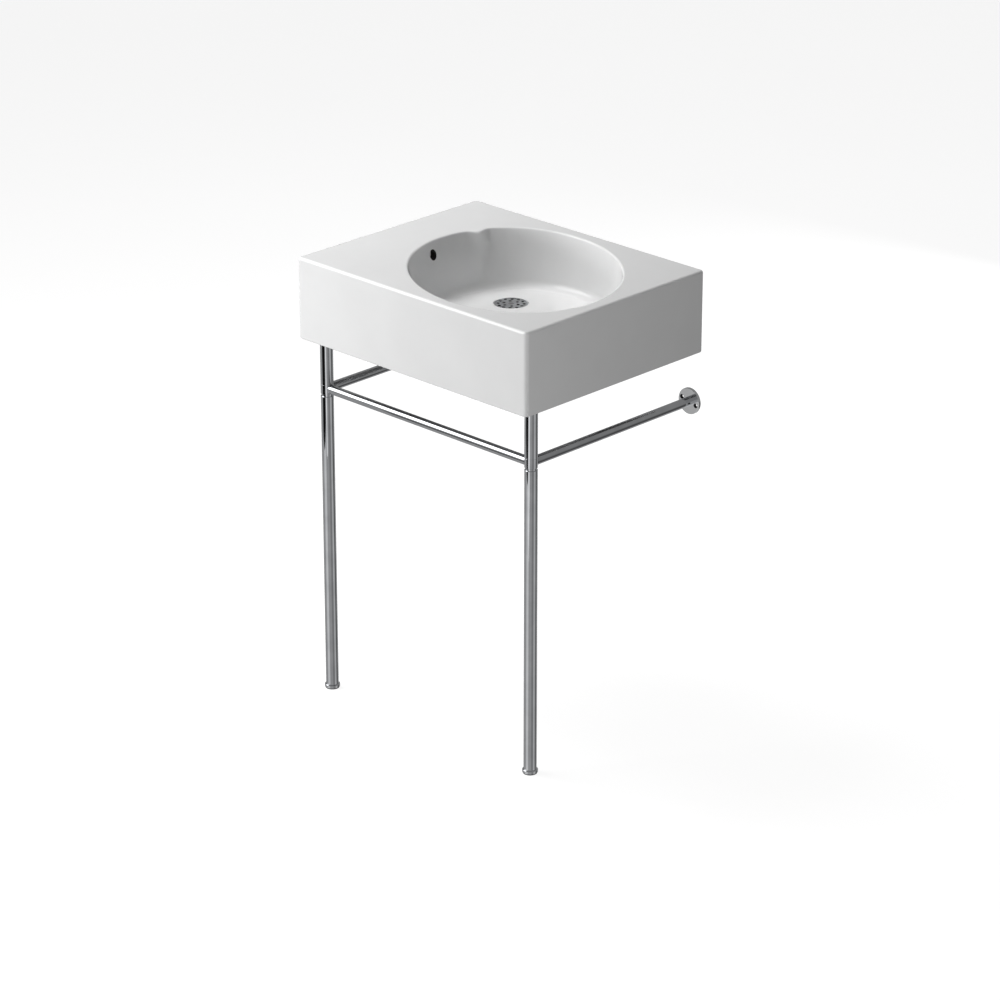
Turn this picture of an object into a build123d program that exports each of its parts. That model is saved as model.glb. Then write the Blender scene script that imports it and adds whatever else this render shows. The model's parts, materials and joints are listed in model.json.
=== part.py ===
from build123d import *
import math
import os

os.makedirs("parts", exist_ok=True)

# ---------------------------------------------------------------------------
# Wall-hung rectangular basin on a chromed console.
# Millimetres. X runs along the wall, +Y points into the wall, +Z is up.
# The wall plane is y = 0. The origin is the middle of the two wall-bolt holes.
# ---------------------------------------------------------------------------

# basin block
W = 600.0                 # width along the wall
D = 480.0                 # depth, wall to front face
H = 163.0                 # height of the block
RIM_Z = 58.0              # top of the deck above the wall bolts
BASE_Z = RIM_Z - H        # lower edge of the skirt
FLOOR_Z = RIM_Z - 900.0   # finished floor
DECK_T = 14.0             # thickness of the deck
SKIRT_T = 12.0            # thickness of the side walls
CORNER_R = 8.0            # upright corners
TOP_R = 5.5               # edge between deck and sides
BACK_LOW_R = 11.0         # lower rear edge

# bowl: a diagonal oval set to the right of the middle
BOWL_X, BOWL_Y = 40.2, -241.1
BOWL_A, BOWL_B = 244.1, 198.8
BOWL_ROT = -32.2
FLOOR_X, FLOOR_Y = 56.0, -241.1
FLOOR_K = 0.90
FLOOR_MID_Z = RIM_Z - 102.0
FLOOR_NORMAL = (-0.0308, 0.0231, 1.0)   # the floor falls towards the waste
BOWL_WALL = 10.0
BOWL_FLOOR_T = 12.0
BOWL_BLEND_R = 18.0
RIM_R = 4.0

# waste
DRAIN_X, DRAIN_Y = -38.0, -171.0
RECESS_Z = -52.0          # seat of the strainer
RECESS_R = 34.0
DRAIN_R = 23.0
DRAIN_BOSS_R = 36.0
DRAIN_BOSS_Z = -92.0
STRAINER_R = 32.5
WASTE_PIPE_R = 16.0       # outside of the tailpiece

# overflow
OVER_Y = -243.0
OVER_Z = RIM_Z - 25.0
OVER_R = 10.0

# wall bolts
BOLT_SPACING = 280.0
BOLT_HOLE_R = 5.5
SLEEVE_R = 9.0
PAD_T = 20.0

# console
POST_X = 270.6            # legs, each side of the middle
POST_Y = -436.0
POST_R = 12.5
POST_IN_R = 11.0
RAIL_Z = FLOOR_Z + 631.0
RAIL_R = 9.0
RAIL_IN_R = 7.5
SPIGOT_R = 7.45
JOINT_TOP = RAIL_Z + 9.5
JOINT_BOT = RAIL_Z - 10.0
NECK_GAP = 4.5            # inner tube showing between joint and lower leg
COPE_R = POST_R + 0.3     # rail ends are shaped round the joint
POST_TOP = -62.0
SOCKET_R = 13.6
SOCKET_TOP = -58.0
INNER_R = 10.92           # inner tube, 0.08 running clearance in the lower leg
INNER_IN_R = 9.4
INNER_TOP = RAIL_Z + 1.0
INNER_BOT = RAIL_Z - 190.0
LEG_TOP = JOINT_BOT - NECK_GAP
LEG_BOT = FLOOR_Z + 9.0
FOOT_R = 15.0
PAD_R = 13.5
FLANGE_R = 26.0
FLANGE_T = 5.0
FLANGE_PCD = 36.0
FLANGE_TILT = -16.0
FLANGE_HOLE_R = 2.6
FLANGE_CSK_R = 4.75


# how far the side next to the tap ledge stands inside the plain oval, as a share
# of the oval's own radius, by polar angle; the dip near 152 degrees is the small
# nose of the ledge
SHELF_INSET = [
    (125.0, 0.000), (133.0, 0.002), (140.0, 0.005), (144.0, 0.008), (146.0, 0.012),
    (147.4, 0.020), (148.6, 0.038), (149.6, 0.056), (150.6, 0.071), (151.6, 0.079),
    (152.6, 0.077), (153.8, 0.064), (155.2, 0.044), (156.6, 0.029), (158.2, 0.022),
    (161.0, 0.020), (166.0, 0.020), (172.0, 0.020), (185.0, 0.014), (200.0, 0.005),
    (214.0, 0.000),
]
SIDE_INSET = [
    (125.0, 0.000), (138.0, 0.008), (150.0, 0.020), (160.0, 0.023), (172.0, 0.020),
    (185.0, 0.014), (200.0, 0.005), (214.0, 0.000),
]


def inset(table, angle):
    a = angle % 360.0
    if a <= table[0][0] or a >= table[-1][0]:
        return 0.0
    for (a0, v0), (a1, v1) in zip(table[:-1], table[1:]):
        if a0 <= a <= a1:
            return v0 + (v1 - v0) * (a - a0) / (a1 - a0)
    return 0.0


def oval_point(angle, grow=0.0, k=1.0, centre=(BOWL_X, BOWL_Y), table=None, share=1.0):
    """Plan point of the bowl outline at a polar angle seen from the centre."""
    rot = math.radians(BOWL_ROT)
    a, b = BOWL_A * k + grow, BOWL_B * k + grow
    phi = math.radians(angle)
    c = math.cos(phi - rot)
    s = math.sin(phi - rot)
    r = 1.0 / math.sqrt((c / a) ** 2 + (s / b) ** 2)
    if table is not None:
        r *= 1.0 - share * inset(table, angle)
    return (centre[0] + r * math.cos(phi), centre[1] + r * math.sin(phi))


# polar angles of the outline's points, closer together along the nose
ANGLES = (
    [float(t) for t in range(-136, 125, 12)]
    + [131.0, 137.0, 141.0, 144.0, 146.0, 147.4, 148.6, 149.6, 150.6, 151.6, 152.6]
    + [153.8, 155.2, 156.6, 158.2, 161.0, 165.0, 170.0, 177.0, 186.0, 196.0, 207.0, 217.0]
)

floor_plane = Plane(
    origin=(FLOOR_X, FLOOR_Y, FLOOR_MID_Z),
    x_dir=(1.0, 0.0, -FLOOR_NORMAL[0]),
    z_dir=FLOOR_NORMAL,
)
floor_out_plane = Plane(
    origin=(FLOOR_X, FLOOR_Y, FLOOR_MID_Z - BOWL_FLOOR_T),
    x_dir=(1.0, 0.0, -FLOOR_NORMAL[0]),
    z_dir=FLOOR_NORMAL,
)

# ---------------------------------------------------------------------------
# Hollow of the bowl: oval rim, steep sides, nearly flat floor
# ---------------------------------------------------------------------------
MID_Z = RIM_Z - 36.0
MID_S = 36.0 / 102.0
with BuildPart() as bowl_void:
    with BuildSketch(Plane.XY.offset(RIM_Z)):
        with BuildLine():
            Spline(*[oval_point(t, table=SHELF_INSET) for t in ANGLES], periodic=True)
        make_face()
    with BuildSketch(Plane.XY.offset(MID_Z)):
        with BuildLine():
            Spline(
                *[
                    oval_point(
                        t,
                        k=1.0 + (FLOOR_K - 1.0) * MID_S,
                        centre=(BOWL_X + (FLOOR_X - BOWL_X) * MID_S, BOWL_Y),
                        table=SIDE_INSET,
                        share=1.0 - MID_S,
                    )
                    for t in ANGLES
                ],
                periodic=True,
            )
        make_face()
    with BuildSketch(floor_plane):
        with BuildLine():
            Spline(
                *[oval_point(t, k=FLOOR_K, centre=(0.0, 0.0)) for t in ANGLES],
                periodic=True,
            )
        make_face()
    loft()
    fillet(bowl_void.faces().sort_by(Axis.Z)[0].edges(), BOWL_BLEND_R)

# outside of the bowl, seen from below
with BuildPart() as bowl_body:
    with BuildSketch(Plane.XY.offset(RIM_Z - 2.0)):
        with BuildLine():
            Spline(
                *[oval_point(t, grow=BOWL_WALL) for t in ANGLES],
                periodic=True,
            )
        make_face()
    with BuildSketch(floor_out_plane):
        with BuildLine():
            Spline(
                *[
                    oval_point(t, grow=BOWL_WALL, k=FLOOR_K, centre=(0.0, 0.0))
                    for t in ANGLES
                ],
                periodic=True,
            )
        make_face()
    loft()
    fillet(bowl_body.faces().sort_by(Axis.Z)[0].edges(), BOWL_BLEND_R)

# overflow duct: down beside the bowl, then under the floor to the waste
duct_angle = math.degrees(
    math.atan2(DRAIN_Y - OVER_Y, DRAIN_X - (-214.0))
)
duct_len = math.hypot(DRAIN_Y - OVER_Y, DRAIN_X - (-214.0))
duct_plane = Plane(
    origin=(-214.0, OVER_Y, -85.0),
    x_dir=(math.cos(math.radians(duct_angle)), math.sin(math.radians(duct_angle)), 0.0),
    z_dir=(0.0, 0.0, 1.0),
)
duct_in_plane = Plane(
    origin=(-214.0, OVER_Y, -77.0),
    x_dir=(math.cos(math.radians(duct_angle)), math.sin(math.radians(duct_angle)), 0.0),
    z_dir=(0.0, 0.0, 1.0),
)

with BuildPart() as basin:
    # outer block
    with BuildSketch(Plane.XY.offset(BASE_Z)):
        with Locations((0.0, -D / 2)):
            RectangleRounded(W, D, CORNER_R)
    extrude(amount=H)
    fillet(basin.faces().sort_by(Axis.Z)[-1].edges(), TOP_R)
    fillet(basin.faces().sort_by(Axis.Z)[0].edges(), 2.5)
    # rounded lower rear edge
    with BuildSketch(Plane.YZ):
        with BuildLine():
            Polyline((-BACK_LOW_R, BASE_Z), (-BACK_LOW_R, BASE_Z - 3.0), (3.0, BASE_Z - 3.0), (3.0, BASE_Z + BACK_LOW_R), (0.0, BASE_Z + BACK_LOW_R))
            RadiusArc((0.0, BASE_Z + BACK_LOW_R), (-BACK_LOW_R, BASE_Z), BACK_LOW_R)
        make_face()
    extrude(amount=W / 2 + 2.0, both=True, mode=Mode.SUBTRACT)
    # hollow under the deck
    with BuildSketch(Plane.XY.offset(BASE_Z)):
        with Locations((0.0, -D / 2)):
            RectangleRounded(W - 2 * SKIRT_T, D - 2 * SKIRT_T, 4.0)
    extrude(amount=H - DECK_T, mode=Mode.SUBTRACT)
    # bowl body, waste boss and overflow duct
    add(bowl_body.part)
    with BuildSketch(Plane.XY.offset(DRAIN_BOSS_Z)):
        with Locations((DRAIN_X, DRAIN_Y)):
            Circle(DRAIN_BOSS_R)
    extrude(amount=-DRAIN_BOSS_Z - 49.0)
    with BuildSketch(Plane.XY.offset(-85.0)):
        with Locations((-216.0, OVER_Y)):
            RectangleRounded(36.0, 44.0, 5.0)
    extrude(amount=85.0 + RIM_Z - 6.0)
    with BuildSketch(duct_plane):
        with Locations((duct_len / 2, 0.0)):
            Rectangle(duct_len, 34.0)
    extrude(amount=32.0)
    # thick corners that take the console posts
    with BuildSketch(Plane.XY.offset(BASE_Z + 4.0)):
        with Locations((-POST_X + 1.0, POST_Y + 1.0), (POST_X - 1.0, POST_Y + 1.0)):
            RectangleRounded(46.0, 48.0, 6.0)
    extrude(amount=H - 4.0 - 8.0)
    # thick pads round the wall bolts
    with BuildSketch(Plane.XZ.offset(2.0)):
        with Locations((-BOLT_SPACING / 2, 0.0), (BOLT_SPACING / 2, 0.0)):
            RectangleRounded(64.0, 64.0, 8.0)
    extrude(amount=PAD_T - 2.0)
    # solid ledge behind the nose, then the hollow of the bowl
    with BuildSketch(Plane.XY.offset(RIM_Z - 44.0)):
        with Locations((-178.0, -146.0)):
            Circle(34.0)
    extrude(amount=44.0 - 6.0)
    add(bowl_void.part, mode=Mode.SUBTRACT)
    # waste recess and bore
    with BuildSketch(Plane.XY.offset(RECESS_Z)):
        with Locations((DRAIN_X, DRAIN_Y)):
            Circle(RECESS_R)
    extrude(amount=12.0, mode=Mode.SUBTRACT)
    with BuildSketch(Plane.XY.offset(DRAIN_BOSS_Z)):
        with Locations((DRAIN_X, DRAIN_Y)):
            Circle(DRAIN_R)
    extrude(amount=60.0, mode=Mode.SUBTRACT)
    # funnel under the outer ring of perforations
    with BuildSketch(Plane.XZ.offset(-DRAIN_Y)):
        with BuildLine():
            Polyline(
                (DRAIN_X, RECESS_Z + 1.0),
                (DRAIN_X + 29.0, RECESS_Z + 1.0),
                (DRAIN_X + 29.0, RECESS_Z - 1.0),
                (DRAIN_X + DRAIN_R - 0.5, RECESS_Z - 7.5),
                (DRAIN_X, RECESS_Z - 7.5),
                close=True,
            )
        make_face()
    revolve(axis=Axis((DRAIN_X, DRAIN_Y, 0.0), (0.0, 0.0, 1.0)), mode=Mode.SUBTRACT)
    # overflow hole and channel
    with BuildSketch(Plane((-150.0, OVER_Y, OVER_Z), x_dir=(0, 1, 0), z_dir=(-1, 0, 0))):
        Circle(OVER_R)
    extrude(amount=66.0, mode=Mode.SUBTRACT)
    with BuildSketch(Plane.XY.offset(-77.0)):
        with Locations((-216.0, OVER_Y)):
            RectangleRounded(20.0, 30.0, 4.0)
    extrude(amount=77.0 + OVER_Z + 12.0, mode=Mode.SUBTRACT)
    with BuildSketch(duct_in_plane):
        with Locations((duct_len / 2, 0.0)):
            Rectangle(duct_len, 20.0)
    extrude(amount=12.0, mode=Mode.SUBTRACT)
    # bolt holes
    with BuildSketch(Plane.XZ.offset(-1.0)):
        with Locations((-BOLT_SPACING / 2, 0.0), (BOLT_SPACING / 2, 0.0)):
            Circle(SLEEVE_R)
    extrude(amount=PAD_T + 3.0, mode=Mode.SUBTRACT)
    # post sockets, open below
    with BuildSketch(Plane.XY.offset(BASE_Z)):
        with Locations((-POST_X, POST_Y), (POST_X, POST_Y)):
            Circle(SOCKET_R)
    extrude(amount=SOCKET_TOP - BASE_Z, mode=Mode.SUBTRACT)

basin.part.label = "basin"

# soften the rim of the bowl and the edge of the waste recess
rim_face = basin.faces().sort_by(Axis.Z)[-1]
rim_edges = ShapeList(
    [e for w in rim_face.inner_wires() for e in w.edges()]
)
basin_solid = basin.part.solids()[0]
for r_try in (RIM_R, 3.5, 3.0, 2.5, 2.0, 1.5):
    try:
        cand = basin_solid.fillet(r_try, rim_edges)
        if cand.is_valid and cand.volume > 0:
            basin_solid = cand
            print("rim fillet", r_try)
            break
    except Exception as err:
        print("rim fillet failed", r_try, type(err).__name__)

basin_part = Part(basin_solid.wrapped)
basin_part.label = "basin"
export_step(basin_part, "parts/basin.step")
print("basin volume", round(basin_solid.volume / 1e6, 3), "litres")

# plastic sleeves that centre the wall bolts in the ceramic
with BuildPart() as wall_bolt_sleeves:
    with BuildSketch(Plane.XZ):
        with Locations((-BOLT_SPACING / 2, 0.0), (BOLT_SPACING / 2, 0.0)):
            Circle(SLEEVE_R)
    extrude(amount=PAD_T)
    with BuildSketch(Plane.XZ.offset(PAD_T)):
        with Locations((-BOLT_SPACING / 2, 0.0), (BOLT_SPACING / 2, 0.0)):
            Circle(14.0)
    extrude(amount=2.5)
    with BuildSketch(Plane.XZ):
        with Locations((-BOLT_SPACING / 2, 0.0), (BOLT_SPACING / 2, 0.0)):
            Circle(BOLT_HOLE_R)
    extrude(amount=PAD_T + 2.5, mode=Mode.SUBTRACT)
wall_bolt_sleeves.part.label = "wall_bolt_sleeves"
export_step(wall_bolt_sleeves.part, "parts/wall_bolt_sleeves.step")

# ---------------------------------------------------------------------------
# Waste
# ---------------------------------------------------------------------------
TOP_SEAL_T = 1.0
STRAINER_BOT = RECESS_Z + TOP_SEAL_T
STRAINER_T = 2.4

with BuildPart() as waste_top_seal:
    with BuildSketch(Plane.XY.offset(RECESS_Z)):
        with Locations((DRAIN_X, DRAIN_Y)):
            Circle(31.6)
            Circle(29.4, mode=Mode.SUBTRACT)
    extrude(amount=TOP_SEAL_T)
waste_top_seal.part.label = "waste_top_seal"
export_step(waste_top_seal.part, "parts/waste_top_seal.step")

with BuildPart() as strainer:
    with BuildSketch(Plane.XY.offset(STRAINER_BOT)):
        with Locations((DRAIN_X, DRAIN_Y)):
            Circle(STRAINER_R)
    extrude(amount=STRAINER_T)
    fillet(strainer.faces().sort_by(Axis.Z)[-1].edges(), 1.2)
    # seat of the screw under the plate
    with BuildSketch(Plane.XY.offset(STRAINER_BOT - 3.0)):
        with Locations((DRAIN_X, DRAIN_Y)):
            Circle(6.5)
    extrude(amount=3.0)
    # flat dished middle
    with BuildSketch(Plane.XY.offset(STRAINER_BOT + STRAINER_T - 0.6)):
        with Locations((DRAIN_X, DRAIN_Y)):
            Circle(30.4)
    extrude(amount=1.0, mode=Mode.SUBTRACT)
    # perforations
    with BuildSketch(Plane.XY.offset(STRAINER_BOT - 1.0)):
        with Locations((DRAIN_X, DRAIN_Y)):
            with PolarLocations(24.8, 12, start_angle=10.0):
                Circle(3.3)
            with PolarLocations(14.6, 6, start_angle=20.0):
                Circle(3.1)
    extrude(amount=6.0, mode=Mode.SUBTRACT)
    # screw hole with its countersink
    with Locations((DRAIN_X, DRAIN_Y, STRAINER_BOT + STRAINER_T - 0.6)):
        CounterSinkHole(radius=3.1, counter_sink_radius=5.6, depth=8.0, counter_sink_angle=90)
strainer.part.label = "waste_strainer"
export_step(strainer.part, "parts/waste_strainer.step")

WASTE_TOP = DRAIN_BOSS_Z - 3.0     # under the lower seal
with BuildPart() as waste_screw:
    # countersunk head, long shank
    with BuildSketch(Plane.XZ.offset(-DRAIN_Y)):
        with BuildLine():
            top = STRAINER_BOT + STRAINER_T - 0.6
            Polyline(
                (DRAIN_X, top),
                (DRAIN_X + 5.5, top),
                (DRAIN_X + 3.0, top - 2.5),
                (DRAIN_X + 3.0, WASTE_TOP - 14.0),
                (DRAIN_X, WASTE_TOP - 14.0),
                close=True,
            )
        make_face()
    revolve(axis=Axis((DRAIN_X, DRAIN_Y, 0.0), (0.0, 0.0, 1.0)))
    # slot
    with BuildSketch(Plane.XY.offset(top - 1.3)):
        with Locations((DRAIN_X, DRAIN_Y)):
            Rectangle(12.0, 1.4, rotation=35.0)
    extrude(amount=2.0, mode=Mode.SUBTRACT)
waste_screw.part.label = "waste_centre_screw"
export_step(waste_screw.part, "parts/waste_centre_screw.step")

with BuildPart() as waste_bottom_seal:
    with BuildSketch(Plane.XY.offset(WASTE_TOP)):
        with Locations((DRAIN_X, DRAIN_Y)):
            Circle(33.0)
            Circle(23.6, mode=Mode.SUBTRACT)
    extrude(amount=3.0)
waste_bottom_seal.part.label = "waste_bottom_seal"
export_step(waste_bottom_seal.part, "parts/waste_bottom_seal.step")

with BuildPart() as waste_body:
    # cup under the boss narrowing to a threaded neck
    with BuildSketch(Plane.XZ.offset(-DRAIN_Y)):
        with BuildLine():
            Polyline(
                (DRAIN_X + 24.0, WASTE_TOP),
                (DRAIN_X + 33.5, WASTE_TOP),
                (DRAIN_X + 33.5, WASTE_TOP - 4.0),
                (DRAIN_X + 26.5, WASTE_TOP - 7.0),
                (DRAIN_X + 26.5, WASTE_TOP - 14.0),
                (DRAIN_X + 20.5, WASTE_TOP - 22.0),
                (DRAIN_X + 20.5, WASTE_TOP - 40.0),
                (DRAIN_X + 16.3, WASTE_TOP - 40.0),
                (DRAIN_X + 16.3, WASTE_TOP - 22.0),
                (DRAIN_X + 24.0, WASTE_TOP - 13.0),
                close=True,
            )
        make_face()
    revolve(axis=Axis((DRAIN_X, DRAIN_Y, 0.0), (0.0, 0.0, 1.0)))
    # cross bar that the screw pulls on
    with BuildSketch(Plane.XY.offset(WASTE_TOP - 10.0)):
        with Locations((DRAIN_X, DRAIN_Y)):
            Rectangle(49.0, 8.0)
            Circle(7.0)
            Circle(3.0, mode=Mode.SUBTRACT)
    extrude(amount=6.0)
waste_body.part.label = "waste_body"
export_step(waste_body.part, "parts/waste_body.step")

PIPE_TOP = WASTE_TOP - 26.0
PIPE_FREE = -149.0                 # the pipe is free below its rolled groove
PIPE_BOT = -196.0
with BuildPart() as waste_tailpiece:
    with BuildSketch(Plane.XY.offset(PIPE_BOT)):
        with Locations((DRAIN_X, DRAIN_Y)):
            Circle(WASTE_PIPE_R)
    extrude(amount=PIPE_TOP - PIPE_BOT)
    with BuildSketch(Plane.XY.offset(PIPE_FREE)):
        with Locations((DRAIN_X, DRAIN_Y)):
            Circle(WASTE_PIPE_R + 1.0)
            Circle(WASTE_PIPE_R - 0.7, mode=Mode.SUBTRACT)
    extrude(amount=2.5, mode=Mode.SUBTRACT)
    with BuildSketch(Plane.XY.offset(PIPE_BOT)):
        with Locations((DRAIN_X, DRAIN_Y)):
            Circle(WASTE_PIPE_R - 1.2)
    extrude(amount=PIPE_TOP - PIPE_BOT, mode=Mode.SUBTRACT)
waste_tailpiece.part.label = "waste_tailpiece"
export_step(waste_tailpiece.part, "parts/waste_tailpiece.step")

with BuildPart() as waste_slip_washer:
    with BuildSketch(Plane.XZ.offset(-DRAIN_Y)):
        with BuildLine():
            Polyline(
                (DRAIN_X + 16.05, WASTE_TOP - 40.1),
                (DRAIN_X + 20.3, WASTE_TOP - 40.1),
                (DRAIN_X + 20.3, WASTE_TOP - 42.5),
                (DRAIN_X + 17.6, WASTE_TOP - 46.0),
                (DRAIN_X + 16.05, WASTE_TOP - 46.0),
                close=True,
            )
        make_face()
    revolve(axis=Axis((DRAIN_X, DRAIN_Y, 0.0), (0.0, 0.0, 1.0)))
waste_slip_washer.part.label = "waste_slip_washer"
export_step(waste_slip_washer.part, "parts/waste_slip_washer.step")

with BuildPart() as waste_slip_nut:
    with BuildSketch(Plane.XY.offset(WASTE_TOP - 50.0)):
        with Locations((DRAIN_X, DRAIN_Y)):
            RegularPolygon(26.5, 8, major_radius=True)
    extrude(amount=22.0)
    with BuildSketch(Plane.XY.offset(WASTE_TOP - 46.2)):
        with Locations((DRAIN_X, DRAIN_Y)):
            Circle(20.6)
    extrude(amount=30.0, mode=Mode.SUBTRACT)
    with BuildSketch(Plane.XY.offset(WASTE_TOP - 51.0)):
        with Locations((DRAIN_X, DRAIN_Y)):
            Circle(16.4)
    extrude(amount=10.0, mode=Mode.SUBTRACT)
    fillet(waste_slip_nut.edges().filter_by(Axis.Z), 1.5)
waste_slip_nut.part.label = "waste_slip_nut"
export_step(waste_slip_nut.part, "parts/waste_slip_nut.step")

# ---------------------------------------------------------------------------
# Console: posts, joints, rails, wall flanges
# ---------------------------------------------------------------------------
for side, sx in (("left", -1.0), ("right", 1.0)):
    px = sx * POST_X

    with BuildPart() as post:
        with BuildSketch(Plane.XY.offset(JOINT_TOP)):
            with Locations((px, POST_Y)):
                Circle(POST_R)
                Circle(POST_IN_R, mode=Mode.SUBTRACT)
        extrude(amount=POST_TOP - JOINT_TOP)
    post.part.label = side + "_post"
    export_step(post.part, "parts/" + side + "_post.step")

    # rubber cap between the post and the ceramic
    with BuildPart() as post_cap:
        with BuildSketch(Plane.XY.offset(POST_TOP - 16.0)):
            with Locations((px, POST_Y)):
                Circle(13.5)
        extrude(amount=16.0 + (SOCKET_TOP - POST_TOP))
        with BuildSketch(Plane.XY.offset(POST_TOP - 16.0)):
            with Locations((px, POST_Y)):
                Circle(POST_R)
        extrude(amount=16.0, mode=Mode.SUBTRACT)
    post_cap.part.label = side + "_post_cap"
    export_step(post_cap.part, "parts/" + side + "_post_cap.step")

    # corner joint: short solid drum with three spigots and a pocket below
    with BuildPart() as corner_joint:
        with BuildSketch(Plane.XY.offset(JOINT_BOT)):
            with Locations((px, POST_Y)):
                Circle(POST_R)
        extrude(amount=JOINT_TOP - JOINT_BOT)
        chamfer(corner_joint.edges().filter_by(GeomType.CIRCLE), 0.35)
        with BuildSketch(Plane.XY.offset(JOINT_TOP - 1.0)):
            with Locations((px, POST_Y)):
                Circle(POST_IN_R - 0.05)
        extrude(amount=25.0)
        # spigot into the side rail
        with BuildSketch(Plane.XZ.offset(-POST_Y)):
            with Locations((px, RAIL_Z)):
                Circle(SPIGOT_R)
        extrude(amount=-(POST_R + 18.0))
        # spigot into the front rail
        with BuildSketch(Plane((px, POST_Y, RAIL_Z), x_dir=(0, 1, 0), z_dir=(-sx, 0, 0))):
            Circle(SPIGOT_R)
        extrude(amount=POST_R + 18.0)
        # pocket for the inner tube
        with BuildSketch(Plane.XY.offset(JOINT_BOT - 1.0)):
            with Locations((px, POST_Y)):
                Circle(INNER_R)
        extrude(amount=INNER_TOP - JOINT_BOT + 1.0, mode=Mode.SUBTRACT)
        # seats of the set screws, from below
        with BuildSketch(Plane.XY.offset(RAIL_Z - RAIL_R - 1.0)):
            with Locations(
                (px, POST_Y + POST_R + 9.0), (px - sx * (POST_R + 9.0), POST_Y)
            ):
                Circle(2.0)
        extrude(amount=6.0, mode=Mode.SUBTRACT)
    corner_joint.part.label = side + "_corner_joint"
    export_step(corner_joint.part, "parts/" + side + "_corner_joint.step")

    # inner tube of the height adjuster
    with BuildPart() as inner_tube:
        with BuildSketch(Plane.XY.offset(INNER_BOT)):
            with Locations((px, POST_Y)):
                Circle(INNER_R)
                Circle(INNER_IN_R, mode=Mode.SUBTRACT)
        extrude(amount=INNER_TOP - INNER_BOT)
    inner_tube.part.label = side + "_inner_tube"
    export_step(inner_tube.part, "parts/" + side + "_inner_tube.step")

    # lower leg tube with the hole of its lock screw at the rear
    with BuildPart() as lower_leg:
        with BuildSketch(Plane.XY.offset(LEG_BOT)):
            with Locations((px, POST_Y)):
                Circle(POST_R)
        extrude(amount=LEG_TOP - LEG_BOT)
        chamfer(
            lower_leg.faces().sort_by(Axis.Z)[-1].edges(), 0.45
        )
        with BuildSketch(Plane.XY.offset(LEG_BOT)):
            with Locations((px, POST_Y)):
                Circle(POST_IN_R)
        extrude(amount=LEG_TOP - LEG_BOT, mode=Mode.SUBTRACT)
        with BuildSketch(Plane.XZ.offset(-POST_Y)):
            with Locations((px, LEG_TOP - 14.0)):
                Circle(2.5)
        extrude(amount=-(POST_R + 2.0), mode=Mode.SUBTRACT)
    lower_leg.part.label = side + "_lower_leg"
    export_step(lower_leg.part, "parts/" + side + "_lower_leg.step")

    # headless lock screw of the leg, hexagon socket
    with BuildPart() as lock_screw:
        with BuildSketch(Plane.XZ.offset(-(POST_Y + 11.05))):
            with Locations((px, LEG_TOP - 14.0)):
                Circle(2.48)
        extrude(amount=-2.2)
        with BuildSketch(Plane.XZ.offset(-(POST_Y + 13.25))):
            with Locations((px, LEG_TOP - 14.0)):
                RegularPolygon(1.4, 6)
        extrude(amount=1.4, mode=Mode.SUBTRACT)
    lock_screw.part.label = side + "_leg_lock_screw"
    export_step(lock_screw.part, "parts/" + side + "_leg_lock_screw.step")

    # foot with its spigot inside the tube
    with BuildPart() as foot:
        with BuildSketch(Plane.XY.offset(FLOOR_Z + 2.0)):
            with Locations((px, POST_Y)):
                Circle(FOOT_R)
        extrude(amount=7.0)
        fillet(foot.faces().sort_by(Axis.Z)[-1].edges(), 2.2)
        chamfer(foot.faces().sort_by(Axis.Z)[0].edges(), 0.6)
        with BuildSketch(Plane.XY.offset(FLOOR_Z + 8.0)):
            with Locations((px, POST_Y)):
                Circle(POST_IN_R - 0.05)
        extrude(amount=24.0)
    foot.part.label = side + "_foot"
    export_step(foot.part, "parts/" + side + "_foot.step")

    with BuildPart() as foot_pad:
        with BuildSketch(Plane.XY.offset(FLOOR_Z)):
            with Locations((px, POST_Y)):
                Circle(PAD_R)
        extrude(amount=2.0)
    foot_pad.part.label = side + "_foot_pad"
    export_step(foot_pad.part, "parts/" + side + "_foot_pad.step")

    # side rail: post to wall, coped round the joint
    with BuildPart() as side_rail:
        with BuildSketch(Plane.XZ.offset(FLANGE_T)):
            with Locations((px, RAIL_Z)):
                Circle(RAIL_R)
                Circle(RAIL_IN_R, mode=Mode.SUBTRACT)
        extrude(amount=-POST_Y - FLANGE_T)
        with BuildSketch(Plane.XY.offset(RAIL_Z - 20.0)):
            with Locations((px, POST_Y)):
                Circle(COPE_R)
        extrude(amount=40.0, mode=Mode.SUBTRACT)
        with BuildSketch(Plane.XY.offset(RAIL_Z - RAIL_R - 2.0)):
            with Locations((px, POST_Y + POST_R + 9.0), (px, -FLANGE_T - 9.0)):
                Circle(2.0)
        extrude(amount=8.0, mode=Mode.SUBTRACT)
    side_rail.part.label = side + "_side_rail"
    export_step(side_rail.part, "parts/" + side + "_side_rail.step")

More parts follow.
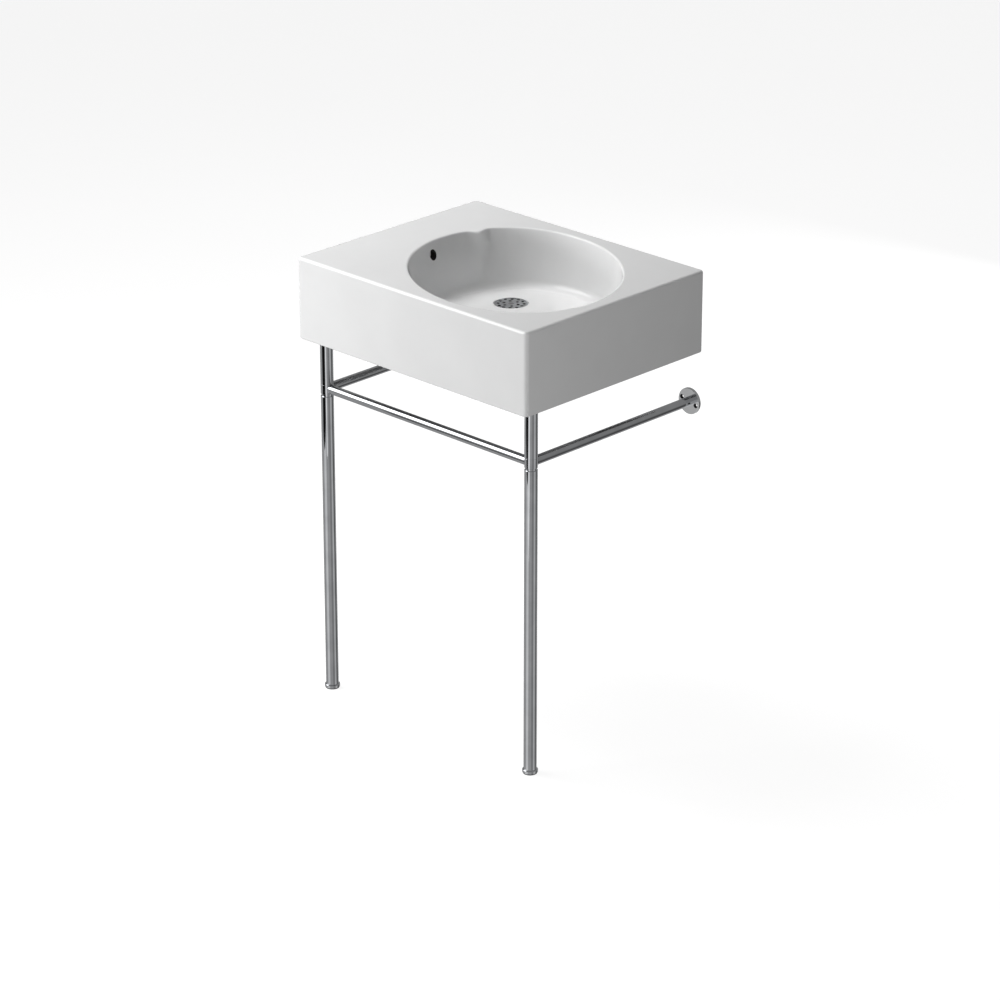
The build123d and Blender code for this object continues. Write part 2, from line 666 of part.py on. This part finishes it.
    # wall flange with two countersunk holes and a spigot
    with BuildPart() as wall_flange:
        with BuildSketch(Plane.XZ):
            with Locations((px, RAIL_Z)):
                Circle(FLANGE_R)
        extrude(amount=FLANGE_T)
        fillet(wall_flange.faces().sort_by(Axis.Y)[0].edges(), 0.8)
        tilt = math.radians(FLANGE_TILT)
        hx = 0.5 * FLANGE_PCD * math.cos(tilt)
        hz = 0.5 * FLANGE_PCD * math.sin(tilt)
        with Locations(
            Plane((px + hx, -FLANGE_T, RAIL_Z + hz), x_dir=(1, 0, 0), z_dir=(0, -1, 0)),
            Plane((px - hx, -FLANGE_T, RAIL_Z - hz), x_dir=(1, 0, 0), z_dir=(0, -1, 0)),
        ):
            CounterSinkHole(
                radius=FLANGE_HOLE_R,
                counter_sink_radius=FLANGE_CSK_R,
                depth=FLANGE_T + 1.0,
                counter_sink_angle=90,
            )
        with BuildSketch(Plane.XZ.offset(FLANGE_T)):
            with Locations((px, RAIL_Z)):
                Circle(SPIGOT_R)
        extrude(amount=18.0)
        with BuildSketch(Plane.XY.offset(RAIL_Z - RAIL_R - 1.0)):
            with Locations((px, -FLANGE_T - 9.0)):
                Circle(2.0)
        extrude(amount=6.0, mode=Mode.SUBTRACT)
    wall_flange.part.label = side + "_wall_flange"
    export_step(wall_flange.part, "parts/" + side + "_wall_flange.step")

# front rail between the two corner joints
with BuildPart() as front_rail:
    with BuildSketch(Plane((-POST_X, POST_Y, RAIL_Z), x_dir=(0, 1, 0), z_dir=(1, 0, 0))):
        Circle(RAIL_R)
        Circle(RAIL_IN_R, mode=Mode.SUBTRACT)
    extrude(amount=2 * POST_X)
    with BuildSketch(Plane.XY.offset(RAIL_Z - 20.0)):
        with Locations((-POST_X, POST_Y), (POST_X, POST_Y)):
            Circle(COPE_R)
    extrude(amount=40.0, mode=Mode.SUBTRACT)
    with BuildSketch(Plane.XY.offset(RAIL_Z - RAIL_R - 2.0)):
        with Locations(
            (-POST_X + POST_R + 9.0, POST_Y), (POST_X - POST_R - 9.0, POST_Y)
        ):
            Circle(2.0)
    extrude(amount=8.0, mode=Mode.SUBTRACT)
front_rail.part.label = "front_rail"
export_step(front_rail.part, "parts/front_rail.step")

# headless screws under the rail ends that lock the spigots
screw_spots = []
for sx in (-1.0, 1.0):
    screw_spots.append((sx * POST_X, POST_Y + POST_R + 9.0))
    screw_spots.append((sx * (POST_X - POST_R - 9.0), POST_Y))
    screw_spots.append((sx * POST_X, -FLANGE_T - 9.0))
with BuildPart() as rail_set_screws:
    with BuildSketch(Plane.XY.offset(RAIL_Z - RAIL_R + 0.3)):
        with Locations(*screw_spots):
            Circle(1.98)
    extrude(amount=3.6)
    with BuildSketch(Plane.XY.offset(RAIL_Z - RAIL_R + 0.3)):
        with Locations(*screw_spots):
            RegularPolygon(1.1, 6)
    extrude(amount=1.6, mode=Mode.SUBTRACT)
rail_set_screws.part.label = "rail_set_screws"
export_step(rail_set_screws.part, "parts/rail_set_screws.step")

print("rail height above floor", RAIL_Z - FLOOR_Z, "legs stand at", FLOOR_Z)
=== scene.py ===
import bpy
import json
import math
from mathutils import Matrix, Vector

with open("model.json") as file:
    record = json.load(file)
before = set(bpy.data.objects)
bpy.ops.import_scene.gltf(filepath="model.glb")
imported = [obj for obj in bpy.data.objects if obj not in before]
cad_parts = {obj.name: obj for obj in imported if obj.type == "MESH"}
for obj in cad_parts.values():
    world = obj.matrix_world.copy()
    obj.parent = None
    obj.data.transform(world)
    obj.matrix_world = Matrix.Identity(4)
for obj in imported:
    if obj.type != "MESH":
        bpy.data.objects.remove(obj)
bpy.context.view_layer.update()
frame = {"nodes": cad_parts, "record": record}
nodes = frame["nodes"]
scene = bpy.context.scene

FLOOR_Z = -0.842


# ---------------------------------------------------------------------------
# Node helpers
# ---------------------------------------------------------------------------
def new_material(name):
    m = bpy.data.materials.new(name)
    m.use_nodes = True
    nt = m.node_tree
    nt.nodes.clear()
    out = nt.nodes.new("ShaderNodeOutputMaterial")
    bsdf = nt.nodes.new("ShaderNodeBsdfPrincipled")
    nt.links.new(bsdf.outputs["BSDF"], out.inputs["Surface"])
    return m, nt, bsdf


def coords(nt):
    tc = nt.nodes.new("ShaderNodeTexCoord")
    return tc.outputs["Object"]


def noise(nt, vec, scale, detail=3.0, rough=0.5, stretch=None):
    if stretch is not None:
        mp = nt.nodes.new("ShaderNodeMapping")
        mp.inputs["Scale"].default_value = stretch
        nt.links.new(vec, mp.inputs["Vector"])
        vec = mp.outputs["Vector"]
    n = nt.nodes.new("ShaderNodeTexNoise")
    n.inputs["Scale"].default_value = scale
    n.inputs["Detail"].default_value = detail
    n.inputs["Roughness"].default_value = rough
    nt.links.new(vec, n.inputs["Vector"])
    return n.outputs["Fac"]


def remap(nt, value, lo, hi, from_lo=0.3, from_hi=0.7):
    r = nt.nodes.new("ShaderNodeMapRange")
    r.inputs["From Min"].default_value = from_lo
    r.inputs["From Max"].default_value = from_hi
    r.inputs["To Min"].default_value = lo
    r.inputs["To Max"].default_value = hi
    nt.links.new(value, r.inputs["Value"])
    return r.outputs["Result"]


def mix_rgb(nt, fac, a, b):
    m = nt.nodes.new("ShaderNodeMix")
    m.data_type = "RGBA"
    if hasattr(fac, "default_value") or hasattr(fac, "links"):
        nt.links.new(fac, m.inputs[0])
    else:
        m.inputs[0].default_value = fac
    for sock, v in ((m.inputs[6], a), (m.inputs[7], b)):
        if isinstance(v, (tuple, list)):
            sock.default_value = (*v[:3], 1.0)
        else:
            nt.links.new(v, sock)
    return m.outputs[2]


def mix_value(nt, fac, a, b):
    m = nt.nodes.new("ShaderNodeMix")
    m.data_type = "FLOAT"
    nt.links.new(fac, m.inputs[0])
    for sock, v in ((m.inputs[2], a), (m.inputs[3], b)):
        if isinstance(v, (int, float)):
            sock.default_value = v
        else:
            nt.links.new(v, sock)
    return m.outputs[0]


def math_node(nt, op, a, b=None):
    m = nt.nodes.new("ShaderNodeMath")
    m.operation = op
    for sock, v in ((m.inputs[0], a), (m.inputs[1], b)):
        if v is None:
            continue
        if isinstance(v, (int, float)):
            sock.default_value = v
        else:
            nt.links.new(v, sock)
    return m.outputs[0]


def bump(nt, bsdf, height, distance, strength=1.0):
    b = nt.nodes.new("ShaderNodeBump")
    b.inputs["Distance"].default_value = distance
    b.inputs["Strength"].default_value = strength
    nt.links.new(height, b.inputs["Height"])
    nt.links.new(b.outputs["Normal"], bsdf.inputs["Normal"])
    return b


# ---------------------------------------------------------------------------
# Materials
# ---------------------------------------------------------------------------
def glaze_material():
    m, nt, bsdf = new_material("white_glaze")
    vec = coords(nt)
    sep = nt.nodes.new("ShaderNodeSeparateXYZ")
    nt.links.new(vec, sep.inputs["Vector"])
    # bare fired clay on the wall face and on the ground lower edge
    back = math_node(nt, "GREATER_THAN", sep.outputs["Y"], -0.0006)
    under = math_node(nt, "LESS_THAN", sep.outputs["Z"], -0.1046)
    bare = math_node(nt, "MAXIMUM", back, under)
    # inside the overflow channel and the throat of the waste a near-black colour is painted: painted shade in these
    # recesses, with a matt finish
    off_y = math_node(nt, "ADD", sep.outputs["Y"], 0.243)
    off_z = math_node(nt, "ADD", sep.outputs["Z"], -0.033)
    off_r = math_node(nt, "ADD", math_node(nt, "MULTIPLY", off_y, off_y), math_node(nt, "MULTIPLY", off_z, off_z))
    front = math_node(nt, "GREATER_THAN", sep.outputs["X"], -0.2265)
    bore = math_node(nt, "MULTIPLY", math_node(nt, "LESS_THAN", off_r, 0.01004 ** 2), math_node(nt, "LESS_THAN", sep.outputs["X"], -0.150))
    bore = math_node(nt, "MULTIPLY", bore, front)
    ox = math_node(nt, "LESS_THAN", sep.outputs["X"], -0.2055)
    oy = math_node(nt, "LESS_THAN", math_node(nt, "ABSOLUTE", off_y), 0.0152)
    oz = math_node(nt, "LESS_THAN", math_node(nt, "ABSOLUTE", math_node(nt, "ADD", sep.outputs["Z"], 0.016)), 0.062)
    channel = math_node(nt, "MULTIPLY", math_node(nt, "MULTIPLY", ox, oy), math_node(nt, "MULTIPLY", oz, front))
    channel = math_node(nt, "MAXIMUM", channel, bore)
    dx = math_node(nt, "ADD", sep.outputs["X"], 0.038)
    dy = math_node(nt, "ADD", sep.outputs["Y"], 0.171)
    rr = math_node(nt, "ADD", math_node(nt, "MULTIPLY", dx, dx), math_node(nt, "MULTIPLY", dy, dy))
    throat = math_node(nt, "MULTIPLY", math_node(nt, "LESS_THAN", rr, 0.0305 ** 2), math_node(nt, "LESS_THAN", sep.outputs["Z"], -0.0523))
    shaded_recess_mask = math_node(nt, "MAXIMUM", channel, throat)
    cloud = noise(nt, vec, 9.0, 4.0, 0.55)
    speck = noise(nt, vec, 420.0, 2.0, 0.6)
    glaze = mix_rgb(nt, remap(nt, cloud, 0.0, 1.0), (0.815, 0.817, 0.817), (0.845, 0.847, 0.847))
    clay = mix_rgb(nt, remap(nt, speck, 0.0, 1.0), (0.70, 0.67, 0.62), (0.83, 0.80, 0.75))
    # painted shade: near-black colour for the overflow channel and the waste throat
    painted_recess_shade = mix_rgb(nt, remap(nt, speck, 0.0, 1.0), (0.035, 0.033, 0.030), (0.060, 0.057, 0.052))
    nt.links.new(mix_rgb(nt, shaded_recess_mask, mix_rgb(nt, bare, glaze, clay), painted_recess_shade), bsdf.inputs["Base Color"])
    bare = math_node(nt, "MAXIMUM", bare, shaded_recess_mask)
    gloss = remap(nt, noise(nt, vec, 30.0, 3.0), 0.055, 0.105)
    matt = remap(nt, speck, 0.55, 0.75)
    nt.links.new(mix_value(nt, bare, gloss, matt), bsdf.inputs["Roughness"])
    # slow waviness of a poured glaze plus faint orange peel
    wave = noise(nt, vec, 14.0, 2.0, 0.4)
    peel = noise(nt, vec, 260.0, 2.0, 0.5)
    height = math_node(nt, "ADD", math_node(nt, "MULTIPLY", wave, 0.00022), math_node(nt, "MULTIPLY", peel, 0.0000035))
    bump(nt, bsdf, height, 1.0, 0.6)
    bsdf.inputs["IOR"].default_value = 1.52
    bsdf.inputs["Coat Weight"].default_value = 0.15
    bsdf.inputs["Coat Roughness"].default_value = 0.04
    return m


def chrome_material(name, tint=(0.70, 0.71, 0.73), dark=(0.58, 0.59, 0.61), rough=(0.02, 0.05), stretch=None):
    m, nt, bsdf = new_material(name)
    vec = coords(nt)
    cloud = noise(nt, vec, 22.0, 4.0, 0.6, stretch)
    smear = noise(nt, vec, 75.0, 5.0, 0.65, stretch)
    nt.links.new(mix_rgb(nt, remap(nt, cloud, 0.0, 1.0), dark, tint), bsdf.inputs["Base Color"])
    nt.links.new(remap(nt, smear, rough[0], rough[1]), bsdf.inputs["Roughness"])
    polish = noise(nt, vec, 900.0, 2.0, 0.5, stretch)
    soft = noise(nt, vec, 40.0, 2.0, 0.5, stretch)
    height = math_node(nt, "ADD", math_node(nt, "MULTIPLY", polish, 0.0000012), math_node(nt, "MULTIPLY", soft, 0.00002))
    bump(nt, bsdf, height, 1.0, 0.5)
    bsdf.inputs["Metallic"].default_value = 1.0
    return m


def flange_material():
    """Chrome, with the countersinks coloured near black and rougher."""
    m, nt, bsdf = new_material("flange_chrome")
    vec = coords(nt)
    sep = nt.nodes.new("ShaderNodeSeparateXYZ")
    nt.links.new(vec, sep.inputs["Vector"])
    cloud = noise(nt, vec, 22.0, 4.0, 0.6)
    smear = noise(nt, vec, 75.0, 5.0, 0.65)
    hole = None
    for px in (-0.2706, 0.2706):
        for sign in (-1.0, 1.0):
            dx = math_node(nt, "SUBTRACT", sep.outputs["X"], px + sign * 0.01730)
            dz = math_node(nt, "SUBTRACT", sep.outputs["Z"], -0.211 - sign * 0.00496)
            rr = math_node(nt, "ADD", math_node(nt, "MULTIPLY", dx, dx), math_node(nt, "MULTIPLY", dz, dz))
            near = math_node(nt, "LESS_THAN", rr, 0.0048 ** 2)
            hole = near if hole is None else math_node(nt, "MAXIMUM", hole, near)
    plate = mix_rgb(nt, remap(nt, cloud, 0.0, 1.0), (0.80, 0.81, 0.82), (0.92, 0.93, 0.94))
    nt.links.new(mix_rgb(nt, hole, plate, (0.045, 0.045, 0.047)), bsdf.inputs["Base Color"])
    nt.links.new(mix_value(nt, hole, remap(nt, smear, 0.03, 0.06), 0.35), bsdf.inputs["Roughness"])
    bump(nt, bsdf, math_node(nt, "MULTIPLY", smear, 0.00001), 1.0, 0.5)
    bsdf.inputs["Metallic"].default_value = 1.0
    return m


def rubber_material():
    m, nt, bsdf = new_material("black_rubber")
    vec = coords(nt)
    grain = noise(nt, vec, 1400.0, 3.0, 0.6)
    cloud = noise(nt, vec, 60.0, 3.0, 0.6)
    nt.links.new(mix_rgb(nt, remap(nt, cloud, 0.0, 1.0), (0.018, 0.018, 0.019), (0.040, 0.040, 0.041)), bsdf.inputs["Base Color"])
    nt.links.new(remap(nt, grain, 0.55, 0.78), bsdf.inputs["Roughness"])
    bump(nt, bsdf, math_node(nt, "MULTIPLY", grain, 0.00006), 1.0, 0.7)
    return m


def nylon_material():
    m, nt, bsdf = new_material("moulded_nylon")
    vec = coords(nt)
    grain = noise(nt, vec, 900.0, 3.0, 0.5)
    cloud = noise(nt, vec, 40.0, 3.0, 0.6)
    nt.links.new(mix_rgb(nt, remap(nt, cloud, 0.0, 1.0), (0.70, 0.69, 0.65), (0.80, 0.79, 0.76)), bsdf.inputs["Base Color"])
    nt.links.new(remap(nt, grain, 0.38, 0.52), bsdf.inputs["Roughness"])
    bump(nt, bsdf, math_node(nt, "MULTIPLY", grain, 0.00003), 1.0, 0.6)
    return m


GLAZE = glaze_material()
CHROME = chrome_material("polished_chrome")
CHROME_CAST = chrome_material("plated_casting", rough=(0.04, 0.09))
STEEL = chrome_material("stainless_steel", (0.52, 0.52, 0.53), (0.40, 0.40, 0.41), (0.22, 0.34), (1.0, 1.0, 14.0))
FLANGE = flange_material()
RUBBER = rubber_material()
NYLON = nylon_material()

BY_SLOT = {
    "glazed_ceramic": GLAZE,
    "chrome": CHROME,
    "steel": STEEL,
    "rubber": RUBBER,
    "plastic": NYLON,
}
slot_of = {s["node"]: s["material_slot"] for s in frame["record"]["subparts"]}


def dress(obj, material):
    if len(obj.material_slots) == 0:
        obj.data.materials.append(material)
    for s in obj.material_slots:
        s.link = "OBJECT"
        s.material = material


for name, obj in nodes.items():
    dress(obj, BY_SLOT[slot_of[name]])
for name in ("left_corner_joint", "right_corner_joint", "left_foot", "right_foot", "waste_body", "waste_slip_nut"):
    dress(nodes[name], CHROME_CAST)
for name in ("left_wall_flange", "right_wall_flange"):
    dress(nodes[name], FLANGE)

# ---------------------------------------------------------------------------
# Floor
# ---------------------------------------------------------------------------
def plane_mesh(name, corners, material):
    me = bpy.data.meshes.new(name)
    me.from_pydata([tuple(c) for c in corners], [], [tuple(range(len(corners)))])
    me.update()
    ob = bpy.data.objects.new(name, me)
    me.materials.append(material)
    scene.collection.objects.link(ob)
    return ob


floor_mat, nt, bsdf = new_material("studio_floor")
vec = coords(nt)
nt.links.new(
    mix_rgb(nt, remap(nt, noise(nt, vec, 1.5, 3.0), 0.0, 1.0), (0.25, 0.25, 0.25), (0.27, 0.27, 0.27)),
    bsdf.inputs["Base Color"],
)
bsdf.inputs["Roughness"].default_value = 0.85
bsdf.inputs["Specular IOR Level"].default_value = 0.15
bsdf.inputs["Emission Color"].default_value = (1, 1, 1, 1)
bsdf.inputs["Emission Strength"].default_value = 0.87
# seen only from above, so that a view from below shows the underside
geo = nt.nodes.new("ShaderNodeNewGeometry")
clear = nt.nodes.new("ShaderNodeBsdfTransparent")
two = nt.nodes.new("ShaderNodeMixShader")
floor_out = [n for n in nt.nodes if n.bl_idname == "ShaderNodeOutputMaterial"][0]
nt.links.new(geo.outputs["Backfacing"], two.inputs["Fac"])
nt.links.new(bsdf.outputs["BSDF"], two.inputs[1])
nt.links.new(clear.outputs["BSDF"], two.inputs[2])
nt.links.new(two.outputs["Shader"], floor_out.inputs["Surface"])
S = 40.0
studio_floor = plane_mesh(
    "studio_floor",
    [(-S, -S, FLOOR_Z), (S, -S, FLOOR_Z), (S, S, FLOOR_Z), (-S, S, FLOOR_Z)],
    floor_mat,
)

studio_floor.visible_diffuse = False
studio_floor.visible_glossy = False

# ---------------------------------------------------------------------------
# Light: white surround, a soft key above on the left, low soft fills, and a
# grey studio with cards for the chrome to mirror
# ---------------------------------------------------------------------------
world = bpy.data.worlds.new("studio")
scene.world = world
world.use_nodes = True
wt = world.node_tree
wt.nodes.clear()
w_out = wt.nodes.new("ShaderNodeOutputWorld")
bg_cam = wt.nodes.new("ShaderNodeBackground")
bg_cam.inputs["Color"].default_value = (1, 1, 1, 1)
bg_cam.inputs["Strength"].default_value = 1.0
bg_env = wt.nodes.new("ShaderNodeBackground")
bg_env.inputs["Strength"].default_value = 1.0
w_tc = wt.nodes.new("ShaderNodeTexCoord")
w_sep = wt.nodes.new("ShaderNodeSeparateXYZ")
wt.links.new(w_tc.outputs["Generated"], w_sep.inputs["Vector"])
def w_range(value, lo, hi, from_lo, from_hi, smooth=True):
    r = wt.nodes.new("ShaderNodeMapRange")
    r.interpolation_type = "SMOOTHSTEP" if smooth else "LINEAR"
    r.inputs["From Min"].default_value = from_lo
    r.inputs["From Max"].default_value = from_hi
    r.inputs["To Min"].default_value = lo
    r.inputs["To Max"].default_value = hi
    wt.links.new(value, r.inputs["Value"])
    return r.outputs["Result"]


def w_math(op, a, b=None):
    m = wt.nodes.new("ShaderNodeMath")
    m.operation = op
    for sock, v in ((m.inputs[0], a), (m.inputs[1], b)):
        if v is None:
            continue
        if isinstance(v, (int, float)):
            sock.default_value = v
        else:
            wt.links.new(v, sock)
    return m.outputs[0]


# soft fill for matt surfaces
wt.links.new(w_range(w_sep.outputs["Z"], 0.12, 0.10, -0.3, 0.6), bg_env.inputs["Color"])
# what polished surfaces mirror: a grey studio with a few soft cards round it
w_flat = wt.nodes.new("ShaderNodeCombineXYZ")
wt.links.new(w_sep.outputs["X"], w_flat.inputs["X"])
wt.links.new(w_sep.outputs["Y"], w_flat.inputs["Y"])
w_norm = wt.nodes.new("ShaderNodeVectorMath")
w_norm.operation = "NORMALIZE"
wt.links.new(w_flat.outputs["Vector"], w_norm.inputs[0])


def w_dot(vec, direction):
    n = wt.nodes.new("ShaderNodeVectorMath")
    n.operation = "DOT_PRODUCT"
    wt.links.new(vec, n.inputs[0])
    n.inputs[1].default_value = direction
    return n.outputs["Value"]


def card(centre, half, soft):
    """1 inside a vertical band of the surround, centre and widths in degrees."""
    c = math.radians(centre)
    d = w_dot(w_norm.outputs["Vector"], (math.cos(c), math.sin(c), 0.0))
    return w_range(d, 0.0, 1.0, math.cos(math.radians(half + soft)), math.cos(math.radians(max(half - soft, 0.5))))


def spot(direction, outer, inner):
    v = Vector(direction).normalized()
    d = w_dot(w_tc.outputs["Generated"], tuple(v))
    return w_range(d, 0.0, 1.0, math.cos(math.radians(outer)), math.cos(math.radians(inner)))


low = 0.37
terms = [(card(-104, 18, 12), 0.34), (card(-12, 16, 8), -0.13), (card(16, 10, 6), 0.16), (card(56, 13, 6), -0.29)]
for mask, gain in terms:
    low = w_math("ADD", low, w_math("MULTIPLY", mask, gain))
high = w_math("ADD", 0.24, w_math("MULTIPLY", spot((-0.645, -0.57, 0.509), 27.0, 13.0), 3.2))
side = w_range(w_sep.outputs["Z"], 0.0, 1.0, -0.16, -0.02)
w_blend = wt.nodes.new("ShaderNodeMix")
w_blend.data_type = "FLOAT"
wt.links.new(side, w_blend.inputs[0])
wt.links.new(low, w_blend.inputs[2])
wt.links.new(high, w_blend.inputs[3])
bg_gloss = wt.nodes.new("ShaderNodeBackground")
wt.links.new(w_blend.outputs[0], bg_gloss.inputs["Color"])
lp = wt.nodes.new("ShaderNodeLightPath")
w_mix0 = wt.nodes.new("ShaderNodeMixShader")
wt.links.new(lp.outputs["Is Glossy Ray"], w_mix0.inputs["Fac"])
wt.links.new(bg_env.outputs["Background"], w_mix0.inputs[1])
wt.links.new(bg_gloss.outputs["Background"], w_mix0.inputs[2])
w_mix = wt.nodes.new("ShaderNodeMixShader")
wt.links.new(lp.outputs["Is Camera Ray"], w_mix.inputs["Fac"])
wt.links.new(w_mix0.outputs["Shader"], w_mix.inputs[1])
wt.links.new(bg_cam.outputs["Background"], w_mix.inputs[2])
wt.links.new(w_mix.outputs["Shader"], w_out.inputs["Surface"])


def area(name, place, target, size_x, size_y, power):
    data = bpy.data.lights.new(name, "AREA")
    data.shape = "RECTANGLE"
    data.size = size_x
    data.size_y = size_y
    data.energy = power
    ob = bpy.data.objects.new(name, data)
    ob.location = place
    d = Vector(target) - Vector(place)
    ob.rotation_euler = d.to_track_quat("-Z", "Y").to_euler()
    ob.visible_glossy = False
    scene.collection.objects.link(ob)
    return ob


area("top_soft", (-1.15, -0.60, 2.0), (0.0, -0.24, 0.05), 1.2, 1.2, 55.0)
area("front_low", (-1.5, -2.2, 0.0), (-0.05, -0.48, -0.05), 1.2, 0.8, 41.0)
area("side_low", (2.2, -2.2, -0.2), (0.3, -0.24, -0.05), 1.0, 0.8, 27.0)

area("rear_low", (-0.3, 2.6, -0.05), (0.0, 0.0, -0.05), 1.4, 0.8, 30.0)

# dark flag on the studio floor, seen only in the polished posts
flag_mat, nt, bsdf = new_material("dark_flag")
vec = coords(nt)
nt.links.new(mix_rgb(nt, remap(nt, noise(nt, vec, 3.0), 0.0, 1.0), (0.004, 0.004, 0.004), (0.007, 0.007, 0.007)), bsdf.inputs["Base Color"])
bsdf.inputs["Roughness"].default_value = 1.0
bsdf.inputs["Specular IOR Level"].default_value = 0.0
flag = plane_mesh(
    "dark_flag",
    [(-1.175, -1.478, FLOOR_Z + 0.002), (-2.37, -2.85, FLOOR_Z + 0.002), (0.42, -3.54, FLOOR_Z + 0.002), (0.04, -1.88, FLOOR_Z + 0.002)],
    flag_mat,
)
# and a white card beside it
card_mat, nt, bsdf = new_material("white_card")
vec = coords(nt)
nt.links.new(mix_rgb(nt, remap(nt, noise(nt, vec, 2.0), 0.0, 1.0), (0.90, 0.90, 0.90), (1.0, 1.0, 1.0)), bsdf.inputs["Emission Color"])
bsdf.inputs["Base Color"].default_value = (0.0, 0.0, 0.0, 1.0)
bsdf.inputs["Roughness"].default_value = 1.0
bsdf.inputs["Specular IOR Level"].default_value = 0.0
bsdf.inputs["Emission Strength"].default_value = 1.0
white = plane_mesh(
    "white_card",
    [(0.157, -1.611, FLOOR_Z + 0.002), (0.756, -3.255, FLOOR_Z + 0.002), (1.577, -2.80, FLOOR_Z + 0.002), (0.50, -1.421, FLOOR_Z + 0.002)],
    card_mat,
)
for sheet in (flag, white):
    sheet.visible_camera = False
    sheet.visible_diffuse = False
    sheet.visible_shadow = False

# ---------------------------------------------------------------------------
# Camera
# ---------------------------------------------------------------------------
cam_data = bpy.data.cameras.new("camera")
cam_data.sensor_width = 36.0
cam_data.lens = 141.4
cam_data.clip_end = 200.0
cam = bpy.data.objects.new("camera", cam_data)
cam.location = (4.870, -5.228, 2.475)
look = Vector((0.0, -0.240, -0.4228)) - Vector(cam.location)
cam.rotation_euler = look.to_track_quat("-Z", "Y").to_euler()
scene.collection.objects.link(cam)
scene.camera = cam

scene.view_settings.view_transform = "Standard"
scene.view_settings.look = "None"
